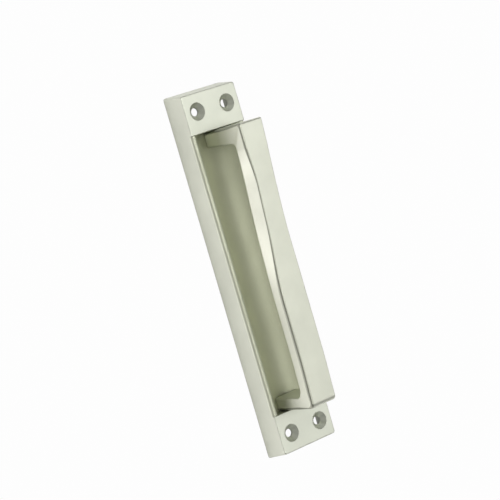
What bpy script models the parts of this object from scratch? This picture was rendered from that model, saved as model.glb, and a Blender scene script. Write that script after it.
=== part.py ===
"""Sash lift handle: a hollow cast backplate with a scooped recess, and a sculpted grip standing in it.

Metres, +Z up. The handle lies on its back. The origin is the centre of the backplate's mounting face,
+Z points out of the sash towards the hand, and +Y runs along the handle towards its upper end.
"""

import math
from collections import namedtuple

import bmesh
import bpy

MM = 0.001

# Backplate
PLATE_LENGTH = 180.0 * MM
PLATE_WIDTH = 35.0 * MM
PLATE_HEIGHT = 12.2 * MM
PLATE_DRAFT = 1.25 * MM
PLATE_CORNER_RADIUS = 1.2 * MM
PLATE_EDGE_RADIUS = 0.5 * MM
FRONT_WALL = 3.2 * MM
SIDE_WALL = 1.5 * MM

# Scooped recess between the two end blocks
RECESS_HALF_LENGTH = 69.5 * MM
RECESS_FLOOR = 3.8 * MM
RIM_RADIUS = 1.8 * MM
RIM_TOP = 11.8 * MM

# Countersunk fixing holes, two in each end block
FIXING_PITCH_X = 18.0 * MM
FIXING_PITCH_Y = 160.0 * MM
FIXING_HOLE_RADIUS = 2.0 * MM
FIXING_MOUTH_RADIUS = 4.3 * MM

# Grip
GRIP_WIDTH = 15.0 * MM
GRIP_FRONT = 33.0 * MM
GRIP_UNDERSIDE = 26.0 * MM
INNER_FILLET = 3.0 * MM
LEFT_RIDGE_RADIUS = 1.2 * MM
RIGHT_RIDGE_RADIUS = 0.5 * MM
UNDER_EDGE_RADIUS = 1.2 * MM
UPPER_SWEEP = 3.7 * MM
LOWER_SWEEP = 0.8 * MM
END_TAPER = 0.8 * MM
SCOOP_DEPTH = 3.4 * MM
Leg = namedtuple("Leg", "outer_foot outer_top inner_foot inner_top corner_radius")
UPPER_LEG = Leg(69.0 * MM, 69.6 * MM, 61.6 * MM, 60.2 * MM, 1.0 * MM)
LOWER_LEG = Leg(69.2 * MM, 68.9 * MM, 62.7 * MM, 63.5 * MM, 2.4 * MM)

# Countersunk machine screws that hold the grip from behind
SCREW_RADIUS = 1.9 * MM
SCREW_HEAD_RADIUS = 4.0 * MM
SCREW_LENGTH = 15.0 * MM
SCREW_HEAD_INSET = 0.2 * MM
DRIVE_ARM_LENGTH = 4.6 * MM
DRIVE_ARM_WIDTH = 0.9 * MM
DRIVE_DEPTH = 1.4 * MM
SCREW_Y = 65.9 * MM

CLEARANCE = 0.3 * MM
ROUND_SEGMENTS = 32
SMOOTH_ANGLE = math.radians(35.0)


# ---- helpers ------------------------------------------------------------------------------------

def clear_scene():
    for item in list(bpy.data.objects):
        bpy.data.objects.remove(item, do_unlink=True)


def smooth_step(value, start, end):
    share = min(1.0, max(0.0, (value - start) / (end - start)))
    return share * share * (3.0 - 2.0 * share)


def metal(name, colour, roughness):
    material = bpy.data.materials.new(name)
    material.use_nodes = True
    shader = material.node_tree.nodes["Principled BSDF"]
    shader.inputs["Base Color"].default_value = (*colour, 1.0)
    shader.inputs["Metallic"].default_value = 1.0
    shader.inputs["Roughness"].default_value = roughness
    material.diffuse_color = (*colour, 1.0)
    return material


def object_from_bmesh(name, mesh_builder, material=None):
    bmesh.ops.recalc_face_normals(mesh_builder, faces=mesh_builder.faces)
    mesh = bpy.data.meshes.new(name)
    mesh_builder.to_mesh(mesh)
    mesh_builder.free()
    item = bpy.data.objects.new(name, mesh)
    bpy.context.scene.collection.objects.link(item)
    if material is not None:
        mesh.materials.append(material)
    mesh.shade_smooth()
    mesh.set_sharp_from_angle(angle=SMOOTH_ANGLE)
    return item


def bridge(builder, ring_a, ring_b):
    """Joins two rings of equal length with quads."""
    count = len(ring_a)
    for i in range(count):
        j = (i + 1) % count
        builder.faces.new((ring_a[i], ring_a[j], ring_b[j], ring_b[i]))


def add_loft(builder, rings):
    """A closed solid through rings of points, with a flat face on its first and last ring."""
    made = [[builder.verts.new(point) for point in ring] for ring in rings]
    for ring_a, ring_b in zip(made, made[1:]):
        bridge(builder, ring_a, ring_b)
    builder.faces.new(made[0])
    builder.faces.new(made[-1])


def rounded_rectangle(half_x, half_y, radius, z, centre_y=0.0, segments=3):
    """Ring of points around a rectangle whose corners are arcs."""
    corners = ((1, 1, 0.0), (-1, 1, 90.0), (-1, -1, 180.0), (1, -1, 270.0))
    points = []
    for side_x, side_y, start in corners:
        middle_x = side_x * (half_x - radius)
        middle_y = side_y * (half_y - radius)
        for step in range(segments + 1):
            angle = math.radians(start + 90.0 * step / segments)
            x = middle_x + radius * math.cos(angle)
            y = centre_y + middle_y + radius * math.sin(angle)
            points.append((x, y, z))
    return points


def add_turned(builder, x, y, profile):
    """A solid turned about a vertical axis through (x, y). The profile is (radius, height) pairs."""
    rings = []
    for radius, height in profile:
        ring = []
        for step in range(ROUND_SEGMENTS):
            angle = 2.0 * math.pi * step / ROUND_SEGMENTS
            ring.append((x + radius * math.cos(angle), y + radius * math.sin(angle), height))
        rings.append(ring)
    add_loft(builder, rings)


def cut(target, cutter):
    """Takes the cutter's volume out of the target. The cutter itself is only a guide."""
    cutter.hide_render = True
    cutter.display_type = "WIRE"
    modifier = target.modifiers.new("cut_" + cutter.name, "BOOLEAN")
    modifier.operation = "DIFFERENCE"
    modifier.object = cutter


# ---- backplate ----------------------------------------------------------------------------------

def side_lean(z):
    """How far the drafted outer walls have leaned in at height z."""
    return PLATE_DRAFT * z / PLATE_HEIGHT


def plate_ring(z, extra_inset):
    inset = side_lean(z) + extra_inset
    radius = PLATE_CORNER_RADIUS
    return rounded_rectangle(PLATE_WIDTH / 2 - inset, PLATE_LENGTH / 2 - inset, radius, z)


def plate_blank():
    """The drafted block, with its front edge rounded over."""
    builder = bmesh.new()
    rings = [plate_ring(0.0, 0.0)]
    for degrees in (0.0, 30.0, 60.0, 90.0):
        angle = math.radians(degrees)
        z = PLATE_HEIGHT - PLATE_EDGE_RADIUS * (1.0 - math.sin(angle))
        rings.append(plate_ring(z, PLATE_EDGE_RADIUS * (1.0 - math.cos(angle))))
    add_loft(builder, rings)
    return object_from_bmesh("backplate", builder, metal("satin_nickel_plate", (0.68, 0.68, 0.60), 0.34))


def rim_centre():
    """Centre of the round that tops each long rim, tangent to the drafted side wall."""
    z = RIM_TOP - RIM_RADIUS
    x = PLATE_WIDTH / 2 - side_lean(z) - RIM_RADIUS * 1.01
    return x, z


def trough_radius():
    """Radius of the scoop that touches the recess floor and runs smoothly into both rims."""
    x, z = rim_centre()
    rise = z - RECESS_FLOOR
    return (x * x + rise * rise - RIM_RADIUS * RIM_RADIUS) / (2.0 * (rise + RIM_RADIUS))


def trough_height(x):
    """Height of the scooped recess floor at x."""
    radius = trough_radius()
    return RECESS_FLOOR + radius - math.sqrt(radius * radius - x * x)


def recess_outline():
    """Right half of the recess cutter's section, from the scoop's bottom up over the rim and outwards."""
    radius = trough_radius()
    rim_x, rim_z = rim_centre()
    reach = math.atan2(rim_x, RECESS_FLOOR + radius - rim_z)
    points = []
    for step in range(13):
        angle = reach * step / 12
        points.append((radius * math.sin(angle), RECESS_FLOOR + radius * (1.0 - math.cos(angle))))
    start = math.pi / 2 + reach
    for step in range(1, 8):
        angle = start * (1.0 - step / 7)
        points.append((rim_x + RIM_RADIUS * math.cos(angle), rim_z + RIM_RADIUS * math.sin(angle)))
    outside = PLATE_WIDTH / 2 + 3.0 * MM
    points.append((outside, rim_z))
    points.append((outside, PLATE_HEIGHT + 3.0 * MM))
    return points


def recess_cutter():
    right = recess_outline()
    left = [(-x, z) for x, z in reversed(right[1:])]
    section = right + left
    builder = bmesh.new()
    ends = (-RECESS_HALF_LENGTH, RECESS_HALF_LENGTH)
    add_loft(builder, [[(x, y, z) for x, z in section] for y in ends])
    return object_from_bmesh("recess_cutter", builder)


def block_core_cutter():
    """The hollow behind each end block, open at the back."""
    builder = bmesh.new()
    top = PLATE_HEIGHT - FRONT_WALL
    inner_end = RECESS_HALF_LENGTH + SIDE_WALL
    for side in (-1, 1):
        rings = []
        for z in (-1.0 * MM, top):
            outer_end = PLATE_LENGTH / 2 - SIDE_WALL - side_lean(z)
            half_x = PLATE_WIDTH / 2 - SIDE_WALL - side_lean(z)
            half_y = (outer_end - inner_end) / 2
            centre = side * (outer_end + inner_end) / 2
            rings.append(rounded_rectangle(half_x, half_y, 1.5 * MM, z, centre))
        add_loft(builder, rings)
    return object_from_bmesh("block_core_cutter", builder)


def rim_core_cutter():
    """The two long hollows behind the rims, which keep the casting's walls even."""
    builder = bmesh.new()
    half_length = RECESS_HALF_LENGTH - 4.0 * MM
    inner_x = 10.0 * MM
    outer_foot = PLATE_WIDTH / 2 - SIDE_WALL
    outer_x = outer_foot - side_lean(7.5 * MM)
    section = [
        (inner_x, -1.0 * MM),
        (outer_foot, -1.0 * MM),
        (outer_x, trough_height(outer_x - 2.0 * MM) - SIDE_WALL),
        (inner_x, trough_height(inner_x) - SIDE_WALL),
    ]
    for side in (-1, 1):
        ends = (-half_length, half_length)
        add_loft(builder, [[(side * x, y, z) for x, z in section] for y in ends])
    return object_from_bmesh("rim_core_cutter", builder)


def fixing_hole_cutter():
    """Four holes from the front, each with a 90 degree countersink."""
    builder = bmesh.new()
    cone = FIXING_MOUTH_RADIUS - FIXING_HOLE_RADIUS
    over = 1.0 * MM
    profile = [
        (FIXING_HOLE_RADIUS, PLATE_HEIGHT - FRONT_WALL - over),
        (FIXING_HOLE_RADIUS, PLATE_HEIGHT - cone),
        (FIXING_MOUTH_RADIUS + over, PLATE_HEIGHT + over),
    ]
    for x in (-FIXING_PITCH_X / 2, FIXING_PITCH_X / 2):
        for y in (-FIXING_PITCH_Y / 2, FIXING_PITCH_Y / 2):
            add_turned(builder, x, y, profile)
    return object_from_bmesh("fixing_hole_cutter", builder)


def grip_screw_hole_cutter():
    """Two countersunk holes from the back, one under each leg of the grip."""
    builder = bmesh.new()
    shank = SCREW_RADIUS + CLEARANCE
    mouth = SCREW_HEAD_RADIUS + SCREW_HEAD_INSET + CLEARANCE
    over = 1.0 * MM
    profile = [(mouth + over, -over), (shank, mouth - shank), (shank, RECESS_FLOOR + over)]
    for y in (-SCREW_Y, SCREW_Y):
        add_turned(builder, sweep(y), y, profile)
    return object_from_bmesh("grip_screw_hole_cutter", builder)


def backplate():
    plate = plate_blank()
    cut(plate, recess_cutter())
    cut(plate, block_core_cutter())
    cut(plate, rim_core_cutter())
    cut(plate, fixing_hole_cutter())
    cut(plate, grip_screw_hole_cutter())
    return plate


# ---- grip ---------------------------------------------------------------------------------------

def sweep(y):
    """Sideways shift of the grip's centre line: its upper end sweeps one way and its lower end the other."""
    if y > 12.0 * MM:
        return UPPER_SWEEP * min(1.0, (y - 12.0 * MM) / (55.0 * MM)) ** 1.4
    if y < -45.0 * MM:
        return -LOWER_SWEEP * min(1.0, (-45.0 * MM - y) / (22.0 * MM)) ** 1.5
    return 0.0


def half_width(y):
    """Half of the grip's width, which narrows a little towards the swept upper end."""
    return (GRIP_WIDTH - END_TAPER * smooth_step(y, -10.0 * MM, 60.0 * MM)) / 2


def scoop(y):
    """How far the thumb scoop sets the left front edge back, as a long leaf on the upper half."""
    rise = smooth_step(y, -18.0 * MM, 22.0 * MM)
    fall = 1.0 - smooth_step(y, 38.0 * MM, 68.0 * MM)
    return SCOOP_DEPTH * rise * fall


def chain(y, reach, thickness, left_radius, right_radius, at_front):
    """Points from left to right over one face of the grip's section, as (x, distance from the inner face)."""
    centre = sweep(y)
    left = centre - half_width(y)
    right = centre + half_width(y)
    points = []
    for step in range(4):
        angle = math.radians(30.0 * step)
        along = left_radius * (1.0 - math.sin(angle))
        share = (1.0 - along / thickness) if at_front else along / thickness
        edge = left + reach * share
        points.append((edge + left_radius * (1.0 - math.cos(angle)), along))
    first = points[-1][0]
    for step in range(1, 6):
        points.append((first + (right - right_radius - first) * step / 6, 0.0))
    for step in range(4):
        angle = math.radians(90.0 - 30.0 * step)
        points.append((right - right_radius * (1.0 - math.cos(angle)), right_radius * (1.0 - math.sin(angle))))
    if at_front:
        return [(x, thickness - along) for x, along in points]
    return points


def section(outer, inner, on_floor=False):
    """Ring of points around the grip between an outer and an inner point of its side view, both (y, z)."""
    step_y = outer[0] - inner[0]
    step_z = outer[1] - inner[1]
    thickness = math.hypot(step_y, step_z)
    y_here = (outer[0] + inner[0]) / 2
    reach = scoop(y_here)
    front = chain(y_here, reach, thickness, LEFT_RIDGE_RADIUS, RIGHT_RIDGE_RADIUS, True)
    under = chain(y_here, reach, thickness, UNDER_EDGE_RADIUS, UNDER_EDGE_RADIUS, False)
    ring = []
    for x, along in front + list(reversed(under)):
        y = inner[0] + step_y * along / thickness
        z = inner[1] + step_z * along / thickness
        if on_floor:
            z = trough_height(x) + CLEARANCE
        ring.append((x, y, z))
    return ring


def leg_face(foot, top, z):
    """Y of a leg's drafted face at height z."""
    return foot + (top - foot) * (z - RECESS_FLOOR) / (GRIP_FRONT - RECESS_FLOOR)


def corner_stations(leg):
    """Outer and inner points of the side view from a foot, round the corner, to the start of the bar."""
    stations = []
    for z in (RECESS_FLOOR, 13.0 * MM, GRIP_UNDERSIDE - INNER_FILLET):
        outer = (leg_face(leg.outer_foot, leg.outer_top, z), z)
        inner = (leg_face(leg.inner_foot, leg.inner_top, z), z)
        stations.append((outer, inner))
    fillet_y = stations[-1][1][0] - INNER_FILLET
    fillet_z = GRIP_UNDERSIDE - INNER_FILLET
    corner_y = leg.outer_top - leg.corner_radius
    corner_z = GRIP_FRONT - leg.corner_radius
    for step in range(1, 6):
        angle = math.radians(90.0 * step / 6)
        inner = (fillet_y + INNER_FILLET * math.cos(angle), fillet_z + INNER_FILLET * math.sin(angle))
        turn = math.radians(90.0 * (step - 1) / 4)
        outer_y = corner_y + leg.corner_radius * math.cos(turn)
        outer = (outer_y, corner_z + leg.corner_radius * math.sin(turn))
        stations.append((outer, inner))
    stations.append(((fillet_y, GRIP_FRONT), (fillet_y, GRIP_UNDERSIDE)))
    return stations


def grip_stations():
    """All stations of the grip's side view, from the lower foot to the upper foot."""
    upper = corner_stations(UPPER_LEG)
    lower = [((-outer[0], outer[1]), (-inner[0], inner[1])) for outer, inner in corner_stations(LOWER_LEG)]
    bar_start = lower[-1][0][0]
    bar_end = upper[-1][0][0]
    bar_steps = 28
    bar = []
    for step in range(1, bar_steps):
        y = bar_start + (bar_end - bar_start) * step / bar_steps
        bar.append(((y, GRIP_FRONT), (y, GRIP_UNDERSIDE)))
    return lower + bar + list(reversed(upper))


def cap(builder, ring):
    """Closes a foot with strips of quads that follow the scooped floor."""
    half = len(ring) // 2
    front = ring[:half]
    under = list(reversed(ring[half:]))
    for i in range(half - 1):
        builder.faces.new((front[i], front[i + 1], under[i + 1], under[i]))


def threaded_hole_cutter():
    """Blind holes up the legs for the machine screws."""
    builder = bmesh.new()
    radius = SCREW_RADIUS + CLEARANCE
    profile = [(radius, 0.0), (radius, SCREW_LENGTH + 1.5 * MM)]
    for y in (-SCREW_Y, SCREW_Y):
        add_turned(builder, sweep(y), y, profile)
    return object_from_bmesh("threaded_hole_cutter", builder)


def grip():
    builder = bmesh.new()
    stations = grip_stations()
    last = len(stations) - 1
    rings = []
    for i, (outer, inner) in enumerate(stations):
        points = section(outer, inner, on_floor=i in (0, last))
        rings.append([builder.verts.new(point) for point in points])
    for ring_a, ring_b in zip(rings, rings[1:]):
        bridge(builder, ring_a, ring_b)
    cap(builder, rings[0])
    cap(builder, rings[-1])
    body = object_from_bmesh("grip", builder, metal("satin_nickel_grip", (0.70, 0.70, 0.62), 0.30))
    cut(body, threaded_hole_cutter())
    return body


# ---- grip screws --------------------------------------------------------------------------------

def drive_cutter(name, x, y):
    """Cross-shaped driver recess, one plus-shaped prism."""
    arm = DRIVE_ARM_LENGTH / 2
    half = DRIVE_ARM_WIDTH / 2
    corner = [(arm, -half), (arm, half), (half, half)]
    outline = []
    for turn in range(4):
        cosine = math.cos(turn * math.pi / 2)
        sine = math.sin(turn * math.pi / 2)
        for px, py in corner:
            outline.append((x + px * cosine - py * sine, y + px * sine + py * cosine))
    builder = bmesh.new()
    heights = (-1.0 * MM, SCREW_HEAD_INSET + DRIVE_DEPTH)
    add_loft(builder, [[(px, py, z) for px, py in outline] for z in heights])
    return object_from_bmesh(name + "_drive_cutter", builder)


def grip_screw(name, y, material):
    """Countersunk machine screw, head down in the back of the plate and shank up into the leg."""
    x = sweep(y)
    builder = bmesh.new()
    land = 0.25 * MM
    tip = 0.6 * MM
    cone_top = SCREW_HEAD_INSET + land + SCREW_HEAD_RADIUS - SCREW_RADIUS
    profile = [
        (SCREW_HEAD_RADIUS - land, SCREW_HEAD_INSET),
        (SCREW_HEAD_RADIUS, SCREW_HEAD_INSET + land),
        (SCREW_RADIUS, cone_top),
        (SCREW_RADIUS, SCREW_LENGTH - tip),
        (SCREW_RADIUS - tip, SCREW_LENGTH),
    ]
    add_turned(builder, x, y, profile)
    screw = object_from_bmesh(name, builder, material)
    cut(screw, drive_cutter(name, x, y))
    return screw


def main():
    clear_scene()
    backplate()
    grip()
    zinc = metal("zinc_plated_steel", (0.62, 0.63, 0.65), 0.30)
    grip_screw("grip_screw_upper", SCREW_Y, zinc)
    grip_screw("grip_screw_lower", -SCREW_Y, zinc)


main()
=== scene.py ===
"""Looks of a satin nickel sash lift handle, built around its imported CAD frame.

Metres, +Z out of the mounting face, +Y towards the handle's upper end. Each CAD node gets a fine piece
that follows the same rules with real roundings, and every surface has a procedural metal.
"""

import math
from collections import namedtuple

import bmesh
import bpy
from mathutils import Matrix, Vector

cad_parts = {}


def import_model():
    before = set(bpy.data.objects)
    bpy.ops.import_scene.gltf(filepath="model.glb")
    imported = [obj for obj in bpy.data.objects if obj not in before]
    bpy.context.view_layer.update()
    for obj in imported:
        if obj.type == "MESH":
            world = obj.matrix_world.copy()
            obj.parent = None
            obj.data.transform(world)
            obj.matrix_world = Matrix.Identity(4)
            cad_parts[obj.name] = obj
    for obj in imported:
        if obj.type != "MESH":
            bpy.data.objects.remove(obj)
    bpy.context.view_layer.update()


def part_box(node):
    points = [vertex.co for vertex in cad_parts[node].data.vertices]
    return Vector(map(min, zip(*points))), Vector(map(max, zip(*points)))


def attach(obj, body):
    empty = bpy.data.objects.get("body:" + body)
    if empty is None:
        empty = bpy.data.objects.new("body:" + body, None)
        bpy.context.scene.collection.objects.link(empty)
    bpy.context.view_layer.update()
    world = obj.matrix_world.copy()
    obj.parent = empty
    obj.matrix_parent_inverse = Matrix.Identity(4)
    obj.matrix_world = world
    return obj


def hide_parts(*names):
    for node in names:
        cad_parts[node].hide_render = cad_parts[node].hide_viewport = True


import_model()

MM = 0.001

# Sizes of the backplate, from its CAD box and from the casting's own details
PLATE_LOW, PLATE_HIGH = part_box("backplate")
PLATE_WIDTH = PLATE_HIGH.x - PLATE_LOW.x
PLATE_LENGTH = PLATE_HIGH.y - PLATE_LOW.y
PLATE_HEIGHT = PLATE_HIGH.z
PLATE_DRAFT = 1.25 * MM
CORNER_RADIUS = 1.2 * MM
EDGE_RADIUS = 0.5 * MM
FRONT_WALL = 3.2 * MM
SIDE_WALL = 1.5 * MM
RECESS_HALF_LENGTH = 69.5 * MM
RECESS_FLOOR = 3.8 * MM
RECESS_FILLET = 0.6 * MM
BLOCK_EDGE_RADIUS = 0.35 * MM
RIM_RADIUS = 1.8 * MM
RIM_TOP = 11.8 * MM
RIM_SETBACK = 1.01
CORE_CORNER_RADIUS = 1.5 * MM
CORE_TOP_RADIUS = 0.8 * MM
RIM_CORE_INNER_X = 10.0 * MM
RIM_CORE_HEIGHT = 7.5 * MM
RIM_CORE_END_GAP = 4.0 * MM
RIM_CORE_SLOPE = 2.0 * MM
CUT_OVER = 1.0 * MM

# Fixing holes
FIXING_X = 9.0 * MM
FIXING_Y = 80.0 * MM
FIXING_HOLE_RADIUS = 2.0 * MM
FIXING_MOUTH_RADIUS = 4.3 * MM
MOUTH_EDGE_RADIUS = 0.12 * MM

# Grip
GRIP_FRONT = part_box("grip")[1].z
GRIP_UNDERSIDE = 26.0 * MM
GRIP_WIDTH = 15.0 * MM
INNER_FILLET = 3.0 * MM
LEFT_RIDGE_RADIUS = 1.3 * MM
SCOOP_RIDGE_RADIUS = 0.8 * MM
RIGHT_RIDGE_RADIUS = 0.5 * MM
UNDER_RADIUS = 1.2 * MM
LEG_CORNER_RADIUS = 0.8 * MM
UPPER_SWEEP = 3.7 * MM
UPPER_SWEEP_START = 12.0 * MM
UPPER_SWEEP_RUN = 55.0 * MM
LOWER_SWEEP = 0.8 * MM
LOWER_SWEEP_START = 45.0 * MM
LOWER_SWEEP_RUN = 22.0 * MM
END_TAPER = 0.8 * MM
SCOOP_DEPTH = 3.4 * MM
# Stretches of the grip's length over which a shape changes, as (start, end)
TAPER_STRETCH = (-10.0 * MM, 60.0 * MM)
SCOOP_RISE = (-18.0 * MM, 22.0 * MM)
SCOOP_FALL = (38.0 * MM, 68.0 * MM)
UNDER_TO_LEG = (58.0 * MM, 64.0 * MM)
FOOT_GAP = 0.04 * MM
Leg = namedtuple("Leg", "outer_foot outer_top inner_foot inner_top corner_radius")
UPPER_LEG = Leg(69.0 * MM, 69.6 * MM, 61.6 * MM, 60.2 * MM, 1.0 * MM)
LOWER_LEG = Leg(69.2 * MM, 68.9 * MM, 62.7 * MM, 63.5 * MM, 2.4 * MM)

# Grip screws
SCREW_LOW, SCREW_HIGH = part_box("grip_screw_upper")
SCREW_Y = (SCREW_LOW.y + SCREW_HIGH.y) / 2
SCREW_HEAD_RADIUS = (SCREW_HIGH.x - SCREW_LOW.x) / 2
SCREW_FACE = SCREW_LOW.z
SCREW_TIP = SCREW_HIGH.z
THREAD_CREST = 1.95 * MM
THREAD_ROOT = 1.6 * MM
THREAD_PITCH = 0.7 * MM
THREAD_STEPS = 150
THREAD_FADE_IN = 1.0 * MM
THREAD_FADE_OUT = 0.6 * MM
HEAD_LAND = 0.25 * MM
HEAD_CHAMFER = 0.06 * MM
HEAD_FACE_INSET = 0.2 * MM
TAPPED_HOLE_RADIUS = 2.0 * MM

ROUND_SEGMENTS = 72
CORNER_STEPS = 8
RIDGE_MARK = "ridge"
BACKGROUND_WHITE = 0.985
ROOM_LIGHT = 0.27
# The floor's glow is weakest beside the plate, a painted contact shadow seen in reflections, and strongest
# far to the left
FLOOR_GLOW_NEAR = 0.26
FLOOR_GLOW_LEFT = 1.2
FLOOR_GLOW_COLOUR = (1.0, 0.955, 0.985)
FLOOR_GLOW_STRETCH = (-28.0 * MM, -80.0 * MM)
# Soft boxes on the room's walls: direction, spread in degrees and strength
SOFT_BOXES = {
    "overhead": ((0.16, 0.06, 0.98), 25.0, 3.6),
    "overhead_core": ((0.16, 0.06, 0.98), 14.0, 3.1),
    "upper_wall": ((0.0, 0.77, 0.64), 30.0, 0.45),
    "left_horizon": ((-0.99, -0.05, 0.10), 24.0, 0.9),
    "right_wall": ((0.85, -0.15, 0.50), 50.0, 0.22),
    "lower_wall": ((0.0, -0.98, 0.17), 30.0, 0.3),
}

# Sizes of the finish's noises, as their scale, then its tints, some of them painted shade, and roughness
CLOUD_SCALE = 70.0
SMUDGE_SCALE = 110.0
PATCH_SCALE = 420.0
GRAIN_SCALE = 2600.0
PIT_SCALE = 5200.0
ROUGHNESS_SPREAD = 0.03
CLOUD_DARK = (0.95, 0.95, 0.95)
CLOUD_LIGHT = (1.03, 1.03, 1.03)
# Painted shade: darker edges and corners, standing in for the dark reflections they catch
PAINTED_EDGE_SHADE = (0.50, 0.50, 0.48)
EDGE_REACH = 0.7 * MM
EDGE_POLISH = 0.12
# Painted shade: a dark reflection line along the grip's left ridge
PAINTED_RIDGE_SHADE = (0.52, 0.52, 0.50)
# Painted shade on the recess rims, holding back their highlight
PAINTED_RIM_SHADE = (0.89, 0.89, 0.82)
# Painted shade: the recess darkened, as shade under the grip
PAINTED_RECESS_SHADE = (0.90, 0.90, 0.79)
CAST_DULLNESS = 0.14
SMOOTH_ANGLE = math.radians(35.0)


# ---- mesh helpers -------------------------------------------------------------------------------

def smooth_step(value, start, end):
    share = min(1.0, max(0.0, (value - start) / (end - start)))
    return share * share * (3.0 - 2.0 * share)


def piece_from_bmesh(name, builder):
    bmesh.ops.recalc_face_normals(builder, faces=builder.faces)
    mesh = bpy.data.meshes.new(name)
    builder.to_mesh(mesh)
    builder.free()
    piece = bpy.data.objects.new(name, mesh)
    bpy.context.scene.collection.objects.link(piece)
    return piece


def add_loft(builder, rings, capped=True):
    """A skin through rings of points, closed by a flat face on its first and last ring."""
    made = [[builder.verts.new(point) for point in ring] for ring in rings]
    count = len(made[0])
    for ring_a, ring_b in zip(made, made[1:]):
        for i in range(count):
            j = (i + 1) % count
            builder.faces.new((ring_a[i], ring_a[j], ring_b[j], ring_b[i]))
    if capped:
        builder.faces.new(made[0])
        builder.faces.new(made[-1])
    return made


def arc(centre_a, centre_b, radius, start, end, steps):
    """Points on an arc from start to end, in degrees, with both ends included."""
    points = []
    for step in range(steps + 1):
        angle = math.radians(start + (end - start) * step / steps)
        points.append((centre_a + radius * math.cos(angle), centre_b + radius * math.sin(angle)))
    return points


def rounded_rectangle(half_x, half_y, radius, z, centre_y=0.0, segments=8):
    points = []
    for side_x, side_y, start in ((1, 1, 0.0), (-1, 1, 90.0), (-1, -1, 180.0), (1, -1, 270.0)):
        middle_x = side_x * (half_x - radius)
        middle_y = centre_y + side_y * (half_y - radius)
        corner = arc(middle_x, middle_y, radius, start, start + 90.0, segments)
        points.extend((x, y, z) for x, y in corner)
    return points


def add_turned(builder, x, y, profile, segments=ROUND_SEGMENTS):
    """A solid turned about a vertical axis through (x, y). The profile is (radius, height) pairs."""
    rings = []
    for radius, height in profile:
        circle = arc(x, y, radius, 0.0, 360.0, segments)[:-1]
        rings.append([(px, py, height) for px, py in circle])
    add_loft(builder, rings)


def carve(piece, cutters):
    """Takes the cutters' volumes out of the piece and removes the cutters."""
    for cutter in cutters:
        modifier = piece.modifiers.new(cutter.name, "BOOLEAN")
        modifier.operation = "DIFFERENCE"
        modifier.object = cutter
    bpy.context.view_layer.update()
    evaluated = piece.evaluated_get(bpy.context.evaluated_depsgraph_get())
    carved = bpy.data.meshes.new_from_object(evaluated)
    piece.modifiers.clear()
    piece.data = carved
    for cutter in cutters:
        bpy.data.objects.remove(cutter, do_unlink=True)


def finish_surface(piece, material):
    """Smooth shading that keeps flat faces flat, and the piece's metal."""
    mesh = piece.data
    mesh.shade_smooth()
    mesh.set_sharp_from_angle(angle=SMOOTH_ANGLE)
    mesh.materials.clear()
    mesh.materials.append(material)
    weighting = piece.modifiers.new("even_shading", "WEIGHTED_NORMAL")
    weighting.keep_sharp = True
    weighting.weight = 100


# ---- backplate ----------------------------------------------------------------------------------

def side_lean(z):
    """How far the drafted outer walls have leaned in at height z."""
    return PLATE_DRAFT * z / PLATE_HEIGHT


def plate_ring(z, extra_inset):
    inset = side_lean(z) + extra_inset
    return rounded_rectangle(PLATE_WIDTH / 2 - inset, PLATE_LENGTH / 2 - inset, CORNER_RADIUS, z)


def plate_blank():
    """The drafted block with a rounded front edge."""
    builder = bmesh.new()
    rings = [plate_ring(0.0, 0.0)]
    for inset, z in arc(EDGE_RADIUS, PLATE_HEIGHT - EDGE_RADIUS, EDGE_RADIUS, 180.0, 90.0, 6):
        rings.append(plate_ring(z, inset))
    add_loft(builder, rings)
    return piece_from_bmesh("backplate_casting", builder)


def rim_centre():
    z = RIM_TOP - RIM_RADIUS
    return PLATE_WIDTH / 2 - side_lean(z) - RIM_RADIUS * RIM_SETBACK, z


def trough_radius():
    """Radius of the scoop that touches the recess floor and runs smoothly into both rims."""
    x, z = rim_centre()
    rise = z - RECESS_FLOOR
    return (x * x + rise * rise - RIM_RADIUS * RIM_RADIUS) / (2.0 * (rise + RIM_RADIUS))


def trough_height(x):
    radius = trough_radius()
    return RECESS_FLOOR + radius - math.sqrt(radius * radius - x * x)


def recess_profile():
    """Points (x, z) across the recess floor, from the scoop's bottom over the right rim and outwards."""
    radius = trough_radius()
    rim_x, rim_z = rim_centre()
    reach = math.degrees(math.atan2(rim_x, RECESS_FLOOR + radius - rim_z))
    scoop_side = arc(0.0, RECESS_FLOOR + radius, radius, -90.0, -90.0 + reach, 28)
    over_rim = arc(rim_x, rim_z, RIM_RADIUS, 90.0 + reach, 0.0, 18)
    outside = [(PLATE_WIDTH / 2 + 3.0 * MM, rim_z)]
    return scoop_side + over_rim[1:] + outside


def recess_cutter():
    """Lofted across the plate, so that its ends can carry the blocks' rounded edge and floor fillet."""
    right = recess_profile()
    columns = [(-x, z) for x, z in reversed(right[1:])] + right
    above = PLATE_HEIGHT + 3.0 * MM
    end = RECESS_HALF_LENGTH
    edge = BLOCK_EDGE_RADIUS
    rings = []
    for x, floor in columns:
        fillet = min(RECESS_FILLET, 0.45 * (PLATE_HEIGHT - floor))
        foot = arc(end - fillet, floor + fillet, fillet, -90.0, 0.0, 5)
        flare = arc(end + edge, PLATE_HEIGHT - edge, edge, 180.0, 90.0, 4)
        side = foot + [(y, max(z, foot[-1][1] + 0.001 * MM)) for y, z in flare] + [(end + edge, above)]
        ring = side + [(-y, z) for y, z in reversed(side)]
        rings.append([(x, y, z) for y, z in ring])
    builder = bmesh.new()
    add_loft(builder, rings)
    return piece_from_bmesh("recess_cutter", builder)


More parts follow.
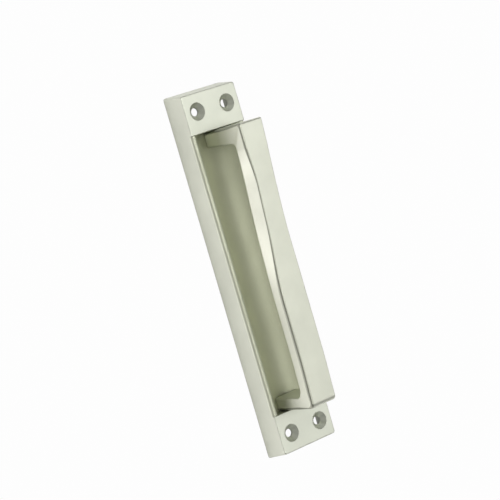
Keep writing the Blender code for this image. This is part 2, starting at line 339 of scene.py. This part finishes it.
def block_core_cutter():
    """The hollow behind each end block, open at the back, with draft and soft corners."""
    builder = bmesh.new()
    top = PLATE_HEIGHT - FRONT_WALL
    soft = CORE_TOP_RADIUS
    inner_end = RECESS_HALF_LENGTH + SIDE_WALL
    for side in (-1, 1):
        rings = []
        heights = [(0.0, -CUT_OVER)] + arc(soft, top - soft, soft, 180.0, 90.0, 5)
        for inset, z in heights:
            outer_end = PLATE_LENGTH / 2 - SIDE_WALL - side_lean(z)
            half_x = PLATE_WIDTH / 2 - SIDE_WALL - side_lean(z) - inset
            half_y = (outer_end - inner_end) / 2 - inset
            centre = side * (outer_end + inner_end) / 2
            rings.append(rounded_rectangle(half_x, half_y, CORE_CORNER_RADIUS, z, centre))
        add_loft(builder, rings)
    return piece_from_bmesh("block_core_cutter", builder)


def rim_core_cutter():
    """The two long hollows behind the rims."""
    builder = bmesh.new()
    half_length = RECESS_HALF_LENGTH - RIM_CORE_END_GAP
    inner_x = RIM_CORE_INNER_X
    outer_foot = PLATE_WIDTH / 2 - SIDE_WALL
    outer_x = outer_foot - side_lean(RIM_CORE_HEIGHT)
    section = [
        (inner_x, -CUT_OVER),
        (outer_foot, -CUT_OVER),
        (outer_x, trough_height(outer_x - RIM_CORE_SLOPE) - SIDE_WALL),
        (inner_x, trough_height(inner_x) - SIDE_WALL),
    ]
    for side in (-1, 1):
        ends = (-half_length, half_length)
        add_loft(builder, [[(side * x, y, z) for x, z in section] for y in ends])
    return piece_from_bmesh("rim_core_cutter", builder)


def fixing_hole_cutter():
    """Four countersunk holes whose mouths have a small rounded edge."""
    builder = bmesh.new()
    cone = FIXING_MOUTH_RADIUS - FIXING_HOLE_RADIUS
    edge = MOUTH_EDGE_RADIUS
    setback = edge * math.tan(math.radians(22.5))
    profile = [
        (FIXING_HOLE_RADIUS, PLATE_HEIGHT - FRONT_WALL - CUT_OVER),
        (FIXING_HOLE_RADIUS, PLATE_HEIGHT - cone),
    ]
    profile += arc(FIXING_MOUTH_RADIUS + setback, PLATE_HEIGHT - edge, edge, 135.0, 90.0, 3)
    profile.append((FIXING_MOUTH_RADIUS + setback, PLATE_HEIGHT + CUT_OVER))
    for x in (-FIXING_X, FIXING_X):
        for y in (-FIXING_Y, FIXING_Y):
            add_turned(builder, x, y, profile)
    return piece_from_bmesh("fixing_hole_cutter", builder)


def grip_screw_hole_cutter():
    """Two countersunk holes from the back, one under each leg of the grip."""
    builder = bmesh.new()
    shank = THREAD_CREST + 0.15 * MM
    mouth = SCREW_HEAD_RADIUS + SCREW_FACE + 0.1 * MM
    profile = [(mouth + CUT_OVER, -CUT_OVER), (shank, mouth - shank), (shank, RECESS_FLOOR + CUT_OVER)]
    for y in (-SCREW_Y, SCREW_Y):
        add_turned(builder, sweep(y), y, profile)
    return piece_from_bmesh("grip_screw_hole_cutter", builder)


def backplate(material):
    plate = plate_blank()
    cutters = [recess_cutter(), block_core_cutter(), rim_core_cutter()]
    cutters += [fixing_hole_cutter(), grip_screw_hole_cutter()]
    carve(plate, cutters)
    finish_surface(plate, material)
    return plate


# ---- grip ---------------------------------------------------------------------------------------

def sweep(y):
    """Sideways shift of the grip's centre line, which sweeps one way at each end."""
    if y > UPPER_SWEEP_START:
        return UPPER_SWEEP * min(1.0, (y - UPPER_SWEEP_START) / UPPER_SWEEP_RUN) ** 1.4
    if y < -LOWER_SWEEP_START:
        return -LOWER_SWEEP * min(1.0, (-LOWER_SWEEP_START - y) / LOWER_SWEEP_RUN) ** 1.5
    return 0.0


def half_width(y):
    return (GRIP_WIDTH - END_TAPER * smooth_step(y, *TAPER_STRETCH)) / 2


def scoop(y):
    """How far the thumb scoop sets the left front edge back, as a long leaf on the upper half."""
    rise = smooth_step(y, *SCOOP_RISE)
    fall = 1.0 - smooth_step(y, *SCOOP_FALL)
    return SCOOP_DEPTH * rise * fall


def rounded_corner(before, corner, after, radius, steps):
    """Arc that rounds a corner of a section, from the side of the point before to that after."""
    a = (Vector(before) - Vector(corner)).normalized()
    b = (Vector(after) - Vector(corner)).normalized()
    half = a.angle(b) / 2
    middle = Vector(corner) + (a + b).normalized() * (radius / math.sin(half))
    start = Vector(corner) + a * (radius / math.tan(half)) - middle
    turn = start.angle_signed(Vector(corner) + b * (radius / math.tan(half)) - middle)
    points = []
    for step in range(steps + 1):
        angle = -turn * step / steps
        x = start.x * math.cos(angle) - start.y * math.sin(angle)
        z = start.x * math.sin(angle) + start.y * math.cos(angle)
        points.append((middle.x + x, middle.y + z))
    return points


def section_outline(y, thickness):
    """The grip's section as (x, distance from the inner face), clockwise from the lower left corner."""
    left = sweep(y) - half_width(y)
    right = sweep(y) + half_width(y)
    under = UNDER_RADIUS + (LEG_CORNER_RADIUS - UNDER_RADIUS) * smooth_step(abs(y), *UNDER_TO_LEG)
    hollow = scoop(y)
    ridge = LEFT_RIDGE_RADIUS + (SCOOP_RIDGE_RADIUS - LEFT_RIDGE_RADIUS) * hollow / SCOOP_DEPTH
    corners = [
        ((left, 0.0), under),
        ((left + hollow, thickness), ridge),
        ((right, thickness), RIGHT_RIDGE_RADIUS),
        ((right, 0.0), under),
    ]
    outline = []
    for i, (corner, radius) in enumerate(corners):
        before = corners[i - 1][0]
        after = corners[(i + 1) % len(corners)][0]
        outline.extend(rounded_corner(before, corner, after, radius, CORNER_STEPS))
    return outline


def station_ring(outer, inner, on_floor):
    """The section placed between an outer and an inner point of the side view, both (y, z)."""
    step_y = outer[0] - inner[0]
    step_z = outer[1] - inner[1]
    thickness = math.hypot(step_y, step_z)
    ring = []
    for x, along in section_outline((outer[0] + inner[0]) / 2, thickness):
        y = inner[0] + step_y * along / thickness
        z = inner[1] + step_z * along / thickness
        if on_floor:
            z = trough_height(x) + FOOT_GAP
        ring.append((x, y, z))
    return ring


def leg_face(foot, top, z):
    return foot + (top - foot) * (z - RECESS_FLOOR) / (GRIP_FRONT - RECESS_FLOOR)


def corner_stations(leg):
    """Outer and inner points from a foot, up the leg, round the corner, to the start of the bar."""
    stations = []
    fillet_z = GRIP_UNDERSIDE - INNER_FILLET
    for step in range(6):
        z = RECESS_FLOOR + (fillet_z - RECESS_FLOOR) * step / 5
        outer = (leg_face(leg.outer_foot, leg.outer_top, z), z)
        inner = (leg_face(leg.inner_foot, leg.inner_top, z), z)
        stations.append((outer, inner))
    fillet_y = stations[-1][1][0] - INNER_FILLET
    inner_arc = arc(fillet_y, fillet_z, INNER_FILLET, 0.0, 90.0, 14)[1:]
    corner = leg.corner_radius
    outer_arc = arc(leg.outer_top - corner, GRIP_FRONT - corner, corner, 0.0, 90.0, 12)
    stations.extend(zip(outer_arc, inner_arc))
    stations.append(((fillet_y, GRIP_FRONT), (fillet_y, GRIP_UNDERSIDE)))
    return stations


def grip_stations():
    upper = corner_stations(UPPER_LEG)
    lower = [((-outer[0], outer[1]), (-inner[0], inner[1])) for outer, inner in corner_stations(LOWER_LEG)]
    bar_start = lower[-1][0][0]
    bar_end = upper[-1][0][0]
    steps = 90
    bar = []
    for step in range(1, steps):
        y = bar_start + (bar_end - bar_start) * step / steps
        bar.append(((y, GRIP_FRONT), (y, GRIP_UNDERSIDE)))
    return lower + bar + list(reversed(upper))


def tapped_hole_cutter():
    builder = bmesh.new()
    profile = [(TAPPED_HOLE_RADIUS, 0.0), (TAPPED_HOLE_RADIUS, SCREW_TIP + 1.5 * MM)]
    for y in (-SCREW_Y, SCREW_Y):
        add_turned(builder, sweep(y), y, profile)
    return piece_from_bmesh("tapped_hole_cutter", builder)


def mark_left_ridge(builder, rings):
    """Marks the rounding along the left front edge, which is the second corner of each section."""
    mark = builder.faces.layers.float.new(RIDGE_MARK)
    first = CORNER_STEPS + 1
    for ring_a, ring_b in zip(rings, rings[1:]):
        for i in range(first, first + CORNER_STEPS):
            face = builder.faces.get((ring_a[i], ring_a[i + 1], ring_b[i + 1], ring_b[i]))
            face[mark] = 1.0


def grip(material):
    builder = bmesh.new()
    stations = grip_stations()
    last = len(stations) - 1
    rings = [station_ring(o, i, k in (0, last)) for k, (o, i) in enumerate(stations)]
    made = add_loft(builder, rings)
    mark_left_ridge(builder, made)
    body = piece_from_bmesh("grip_casting", builder)
    carve(body, [tapped_hole_cutter()])
    finish_surface(body, material)
    return body


# ---- grip screws --------------------------------------------------------------------------------

def drive_cutter(x, y):
    """Cross-shaped driver recess whose arms taper towards the bottom."""
    outlines = []
    for arm, half, z in ((2.45, 0.5, -1.0), (2.3, 0.45, 0.0), (1.3, 0.38, 1.6)):
        corner = [(arm, -half), (arm, half), (half, half)]
        ring = []
        for turn in range(4):
            spin = Matrix.Rotation(turn * math.pi / 2, 2)
            ring.extend(spin @ Vector(point) for point in corner)
        outlines.append([(x + p.x * MM, y + p.y * MM, SCREW_FACE + z * MM) for p in ring])
    builder = bmesh.new()
    add_loft(builder, outlines)
    return piece_from_bmesh("drive_cutter", builder)


def thread_ring(x, y, z, depth):
    """One ring of the threaded shank. Depth fades the thread out at its ends."""
    ring = []
    for step in range(ROUND_SEGMENTS):
        turn = step / ROUND_SEGMENTS
        phase = (z / THREAD_PITCH - turn) % 1.0
        crest = 1.0 - abs(2.0 * phase - 1.0)
        radius = THREAD_ROOT + (THREAD_CREST - THREAD_ROOT) * crest * depth
        angle = 2.0 * math.pi * turn
        ring.append((x + radius * math.cos(angle), y + radius * math.sin(angle), z))
    return ring


def grip_screw(name, y, material):
    """Countersunk machine screw, head down in the back of the plate and threaded up into the leg."""
    x = sweep(y)
    cone_top = SCREW_FACE + HEAD_LAND + SCREW_HEAD_RADIUS - THREAD_ROOT
    rings = []
    for radius, z in (
        (SCREW_HEAD_RADIUS - HEAD_FACE_INSET, SCREW_FACE),
        (SCREW_HEAD_RADIUS - HEAD_CHAMFER, SCREW_FACE + HEAD_CHAMFER),
        (SCREW_HEAD_RADIUS, SCREW_FACE + HEAD_LAND),
        (THREAD_ROOT, cone_top),
    ):
        circle = arc(x, y, radius, 0.0, 360.0, ROUND_SEGMENTS)[:-1]
        rings.append([(px, py, z) for px, py in circle])
    for step in range(1, THREAD_STEPS + 1):
        z = cone_top + (SCREW_TIP - cone_top) * step / THREAD_STEPS
        depth = min(1.0, (z - cone_top) / THREAD_FADE_IN, (SCREW_TIP - z) / THREAD_FADE_OUT)
        rings.append(thread_ring(x, y, z, max(0.0, depth)))
    builder = bmesh.new()
    add_loft(builder, rings)
    screw = piece_from_bmesh(name, builder)
    carve(screw, [drive_cutter(x, y)])
    finish_surface(screw, material)
    return screw


# ---- metals -------------------------------------------------------------------------------------

def tinted(colour, tint):
    return tuple(min(1.0, c * t) for c, t in zip(colour, tint))


class Shader:
    """Short names for building a node tree."""

    def __init__(self, name):
        self.material = bpy.data.materials.new(name)
        self.material.use_nodes = True
        self.tree = self.material.node_tree
        self.principled = self.tree.nodes["Principled BSDF"]

    def node(self, kind, **values):
        made = self.tree.nodes.new(kind)
        for key, value in values.items():
            if hasattr(made, key):
                setattr(made, key, value)
            else:
                made.inputs[key.replace("_", " ")].default_value = value
        return made

    def link(self, source, target):
        self.tree.links.new(source, target)

    def noise(self, scale, detail=3.0, stretch=(1.0, 1.0, 1.0)):
        """Noise in the piece's own metres, stretched along the given axes."""
        place = self.node("ShaderNodeTexCoord")
        mapping = self.node("ShaderNodeMapping")
        mapping.inputs["Scale"].default_value = stretch
        noise = self.node("ShaderNodeTexNoise", Scale=scale, Detail=detail)
        self.link(place.outputs["Object"], mapping.inputs["Vector"])
        self.link(mapping.outputs["Vector"], noise.inputs["Vector"])
        return noise.outputs["Fac"]

    def spread(self, value, low, high, to_low, to_high):
        """Maps a value from one range to another, clamped."""
        made = self.node("ShaderNodeMapRange")
        self.link(value, made.inputs["Value"])
        for key, number in zip(("From Min", "From Max", "To Min", "To Max"), (low, high, to_low, to_high)):
            made.inputs[key].default_value = number
        return made.outputs["Result"]

    def math(self, operation, a, b):
        made = self.node("ShaderNodeMath", operation=operation)
        for socket, value in zip(made.inputs, (a, b)):
            if isinstance(value, (int, float)):
                socket.default_value = value
            else:
                self.link(value, socket)
        return made.outputs["Value"]

    def mix_colour(self, factor, a, b):
        made = self.node("ShaderNodeMix", data_type="RGBA")
        self.link(factor, made.inputs["Factor"])
        for key, colour in (("A", a), ("B", b)):
            socket = [s for s in made.inputs if s.name == key and s.type == "RGBA"][0]
            if isinstance(colour, tuple):
                socket.default_value = (*colour, 1.0)
            else:
                self.link(colour, socket)
        return [s for s in made.outputs if s.type == "RGBA"][0]

    def reach(self, axis, zero_at, one_at):
        """Rises from 0 to 1 with the distance from the object's middle along an axis."""
        place = self.node("ShaderNodeTexCoord")
        split = self.node("ShaderNodeSeparateXYZ")
        self.link(place.outputs["Object"], split.inputs["Vector"])
        away = self.math("ABSOLUTE", split.outputs[axis], 0.0)
        return self.spread(away, zero_at, one_at, 0.0, 1.0)

    def edge_mask(self, radius):
        """Near 1 on convex and concave edges, where a widened normal leaves the true one."""
        wide = self.node("ShaderNodeBevel", samples=6, Radius=radius)
        true = self.node("ShaderNodeNewGeometry")
        dot = self.node("ShaderNodeVectorMath", operation="DOT_PRODUCT")
        self.link(wide.outputs["Normal"], dot.inputs[0])
        self.link(true.outputs["Normal"], dot.inputs[1])
        return self.spread(dot.outputs["Value"], 0.995, 0.90, 0.0, 1.0)


def satin_metal(name, colour, roughness, grain_direction, recessed=False):
    """Satin plated metal: soft cloudy tone, fine grain along one direction, and painted shade on edges and
    corners.

    Faces with the ridge mark get painted shade, a dark reflection line along the grip's left ridge. On a
    recessed piece the recess is painted darker, as shade under the grip, and has the duller roughness of
    the casting skin; its rims get painted shade that holds back their highlight.
    """
    s = Shader(name)
    principled = s.principled
    principled.inputs["Metallic"].default_value = 1.0
    cloud = s.spread(s.noise(CLOUD_SCALE, 4.0), 0.3, 0.7, 0.0, 1.0)
    tone = s.mix_colour(cloud, tinted(colour, CLOUD_DARK), tinted(colour, CLOUD_LIGHT))
    patchy = s.spread(s.noise(PATCH_SCALE), 0.3, 0.7, 0.7, 1.0)
    edges = s.math("MULTIPLY", s.edge_mask(EDGE_REACH), patchy)
    # Painted shade: edges and corners darkened, standing in for the dark reflections they catch
    tone = s.mix_colour(edges, tone, tinted(colour, PAINTED_EDGE_SHADE))
    ridge = s.node("ShaderNodeAttribute", attribute_name=RIDGE_MARK).outputs["Fac"]
    # Painted shade: a dark reflection line along the grip's left ridge
    tone = s.mix_colour(ridge, tone, tinted(colour, PAINTED_RIDGE_SHADE))

    grain = s.noise(GRAIN_SCALE, 5.0, grain_direction)
    smudge = s.spread(s.noise(SMUDGE_SCALE, 3.0), 0.3, 0.7, -ROUGHNESS_SPREAD, ROUGHNESS_SPREAD)
    smoothest = roughness - ROUGHNESS_SPREAD
    roughest = roughness + ROUGHNESS_SPREAD
    rough = s.math("ADD", s.spread(grain, 0.3, 0.7, smoothest, roughest), smudge)
    rough = s.math("SUBTRACT", rough, s.math("MULTIPLY", edges, EDGE_POLISH))
    if recessed:
        along = s.reach("Y", RECESS_HALF_LENGTH - 0.1 * MM, RECESS_HALF_LENGTH - 0.4 * MM)
        rim_x, rim_z = rim_centre()
        recess_shade_and_dullness = s.math("MULTIPLY", along, s.reach("X", rim_x + 1.6 * MM, rim_x + 0.6 * MM))
        rim = s.math("MULTIPLY", along, s.reach("Z", rim_z + 0.1 * MM, rim_z + 1.5 * MM))
        # Painted shade: the recess darkened as shade under the grip; the same mask dulls its roughness
        # below
        tone = s.mix_colour(recess_shade_and_dullness, tone, tinted(colour, PAINTED_RECESS_SHADE))
        # Painted shade on the rims, holding back their highlight
        tone = s.mix_colour(rim, tone, tinted(colour, PAINTED_RIM_SHADE))
        rough = s.math("ADD", rough, s.math("MULTIPLY", recess_shade_and_dullness, CAST_DULLNESS))
    s.link(tone, principled.inputs["Base Color"])
    s.link(rough, principled.inputs["Roughness"])

    pits = s.noise(PIT_SCALE, 2.0)
    height = s.math("ADD", s.math("MULTIPLY", grain, 0.7), s.math("MULTIPLY", pits, 0.3))
    bump = s.node("ShaderNodeBump", Strength=0.12, Distance=0.02 * MM)
    s.link(height, bump.inputs["Height"])
    s.link(bump.outputs["Normal"], principled.inputs["Normal"])
    return s.material


# ---- stage, light and camera --------------------------------------------------------------------

def stage_floor():
    """A pale floor, open under the plate: plain white to the camera, and a glow to every other ray, dim
    beside the plate as a painted contact shadow and bright far to its left.
    """
    size = 6.0
    builder = bmesh.new()
    outer = [(-size, -size), (size, -size), (size, size), (-size, size)]
    under_plate = 1.0 * MM
    half_x = PLATE_WIDTH / 2 - under_plate
    half_y = PLATE_LENGTH / 2 - under_plate
    inner = [(-half_x, -half_y), (half_x, -half_y), (half_x, half_y), (-half_x, half_y)]
    z = -0.1 * MM
    outer = [builder.verts.new((x, y, z)) for x, y in outer]
    inner = [builder.verts.new((x, y, z)) for x, y in inner]
    for i in range(4):
        j = (i + 1) % 4
        builder.faces.new((outer[i], outer[j], inner[j], inner[i]))
    floor = piece_from_bmesh("floor", builder)
    s = Shader("floor_paper")
    s.principled.inputs["Base Color"].default_value = (0.86, 0.86, 0.86, 1.0)
    s.principled.inputs["Roughness"].default_value = 0.9
    s.principled.inputs["Emission Color"].default_value = (*FLOOR_GLOW_COLOUR, 1.0)
    place = s.node("ShaderNodeNewGeometry")
    split = s.node("ShaderNodeSeparateXYZ")
    s.link(place.outputs["Position"], split.inputs["Vector"])
    # Painted contact shadow: the glow is weakest beside the plate
    glow = s.spread(split.outputs["X"], *FLOOR_GLOW_STRETCH, FLOOR_GLOW_NEAR, FLOOR_GLOW_LEFT)
    s.link(glow, s.principled.inputs["Emission Strength"])
    white = s.node("ShaderNodeEmission", Strength=BACKGROUND_WHITE)
    path = s.node("ShaderNodeLightPath")
    mix = s.node("ShaderNodeMixShader")
    output = s.tree.nodes["Material Output"]
    s.link(path.outputs["Is Camera Ray"], mix.inputs["Fac"])
    s.link(s.principled.outputs["BSDF"], mix.inputs[1])
    s.link(white.outputs["Emission"], mix.inputs[2])
    s.link(mix.outputs["Shader"], output.inputs["Surface"])
    floor.data.materials.append(s.material)


def soft_box(tree, direction, towards, spread, strength):
    """Light in a soft-edged round patch of the room's walls, as seen from the handle."""
    facing = tree.nodes.new("ShaderNodeVectorMath")
    facing.operation = "DOT_PRODUCT"
    facing.inputs[1].default_value = Vector(towards).normalized()
    tree.links.new(direction, facing.inputs[0])
    patch = tree.nodes.new("ShaderNodeMapRange")
    patch.interpolation_type = "SMOOTHSTEP"
    patch.inputs["From Min"].default_value = math.cos(math.radians(spread))
    patch.inputs["From Max"].default_value = math.cos(math.radians(spread * 0.3))
    patch.inputs["To Max"].default_value = strength
    tree.links.new(facing.outputs["Value"], patch.inputs["Value"])
    return patch.outputs["Result"]


def world():
    """A dim room lit by soft boxes. Where the camera sees it directly, it is plain white."""
    room = bpy.data.worlds.new("pale_room")
    room.use_nodes = True
    tree = room.node_tree
    direction = tree.nodes.new("ShaderNodeTexCoord").outputs["Generated"]
    total = None
    for towards, spread, strength in SOFT_BOXES.values():
        patch = soft_box(tree, direction, towards, spread, strength)
        add = tree.nodes.new("ShaderNodeMath")
        add.inputs[0].default_value = ROOM_LIGHT
        if total:
            tree.links.new(total, add.inputs[0])
        tree.links.new(patch, add.inputs[1])
        total = add.outputs["Value"]
    light = tree.nodes["Background"]
    light.inputs["Color"].default_value = (1.0, 1.0, 1.0, 1.0)
    tree.links.new(total, light.inputs["Strength"])
    seen = tree.nodes.new("ShaderNodeBackground")
    seen.inputs["Color"].default_value = (1.0, 1.0, 1.0, 1.0)
    seen.inputs["Strength"].default_value = BACKGROUND_WHITE
    path = tree.nodes.new("ShaderNodeLightPath")
    mix = tree.nodes.new("ShaderNodeMixShader")
    tree.links.new(path.outputs["Is Camera Ray"], mix.inputs["Fac"])
    tree.links.new(light.outputs["Background"], mix.inputs[1])
    tree.links.new(seen.outputs["Background"], mix.inputs[2])
    tree.links.new(mix.outputs["Shader"], tree.nodes["World Output"].inputs["Surface"])
    bpy.context.scene.world = room


def camera():
    """Looks down on the handle from its left side, turned so that its upper end points up and left."""
    azimuth = math.radians(-99.8)
    elevation = math.radians(53.7)
    roll = math.radians(-81.6)
    distance = 0.934
    aim = Vector((4.8, 8.5, 2.4)) * MM
    flat = math.cos(elevation)
    back = Vector((math.sin(azimuth) * flat, -math.cos(azimuth) * flat, math.sin(elevation)))
    level_right = Vector((0.0, 0.0, 1.0)).cross(back).normalized()
    level_up = back.cross(level_right)
    up = level_up * math.cos(roll) + level_right * math.sin(roll)
    right = up.cross(back)
    data = bpy.data.cameras.new("camera")
    data.sensor_width = 36.0
    data.lens = 139.3
    eye = bpy.data.objects.new("camera", data)
    turn = Matrix((right, up, back)).transposed().to_4x4()
    eye.matrix_world = Matrix.Translation(aim + back * distance) @ turn
    bpy.context.scene.collection.objects.link(eye)
    bpy.context.scene.camera = eye


# ---- the handle ---------------------------------------------------------------------------------

plate_metal = satin_metal("satin_nickel_plate", (0.66, 0.68, 0.585), 0.46, (1.0, 0.15, 1.0), recessed=True)
grip_metal = satin_metal("satin_nickel_grip", (0.665, 0.68, 0.58), 0.44, (1.0, 0.12, 1.0))
zinc_metal = satin_metal("zinc_plated_steel", (0.62, 0.63, 0.65), 0.28, (1.0, 1.0, 1.0))

made = (
    (backplate(plate_metal), "backplate", "plate"),
    (grip(grip_metal), "grip", "grip"),
    (grip_screw("upper_machine_screw", SCREW_Y, zinc_metal), "grip_screw_upper", "screw"),
    (grip_screw("lower_machine_screw", -SCREW_Y, zinc_metal), "grip_screw_lower", "screw"),
)
for piece, node, slot in made:
    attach(piece, "root")
    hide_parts(node)

stage_floor()
world()
camera()
bpy.context.scene.view_settings.view_transform = "Standard"
